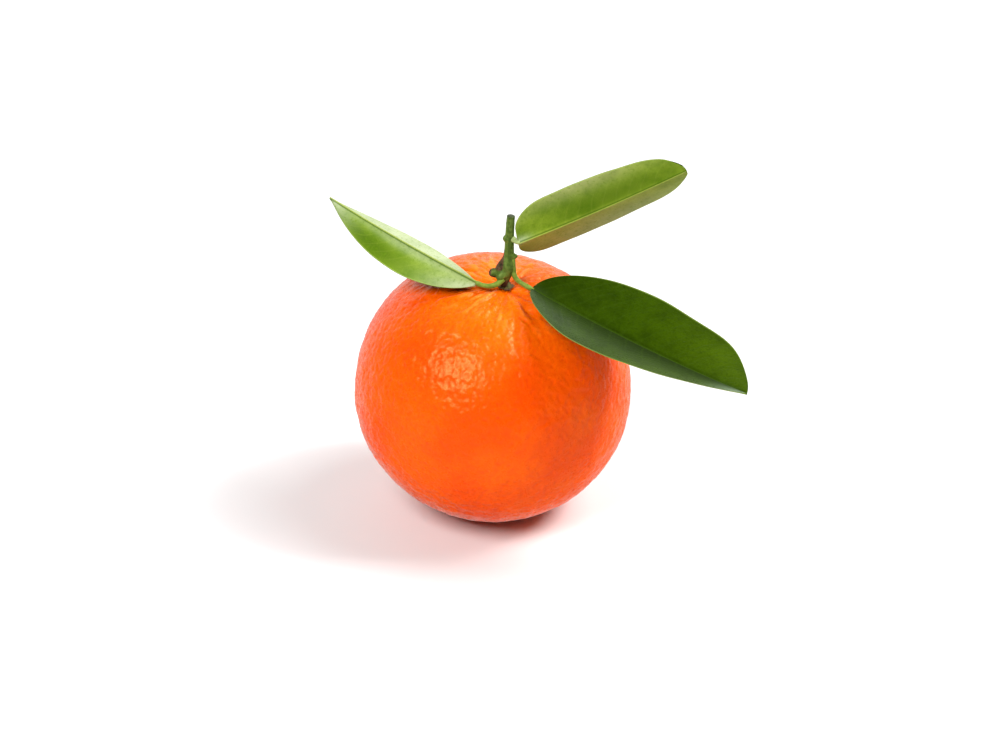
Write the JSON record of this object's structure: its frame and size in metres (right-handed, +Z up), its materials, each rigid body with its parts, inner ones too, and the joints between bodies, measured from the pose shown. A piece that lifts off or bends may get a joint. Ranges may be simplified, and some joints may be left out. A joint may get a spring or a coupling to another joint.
{
  "type": "clementine",
  "caption": "Whole clementine as picked, a squat round orange fruit resting on its base, with a cut twig and green leaves at the stem end.",
  "frame": {"origin": "middle of the small flat on the fruit's base that it rests on", "axes": "+Z up through the fruit towards the stem end, -Y towards the side that the stem end leans to and the lower leaf reaches over, +X towards the upper and lower leaves"},
  "size_m": [0.0866, 0.0669, 0.0813],
  "materials": {
    "peel": "satin",
    "calyx": "matte",
    "twig": "matte",
    "stalk": "satin",
    "leaf": "satin"
  },
  "bodies": {
    "root": {"fruit": "peel", "calyx": "calyx", "stem": "twig", "leaf_left_stalk": "stalk", "leaf_left_blade": "leaf", "leaf_upper_stalk": "stalk", "leaf_upper_blade": "leaf", "leaf_lower_stalk": "stalk", "leaf_lower_blade": "leaf"}
  },
  "joints": []
}
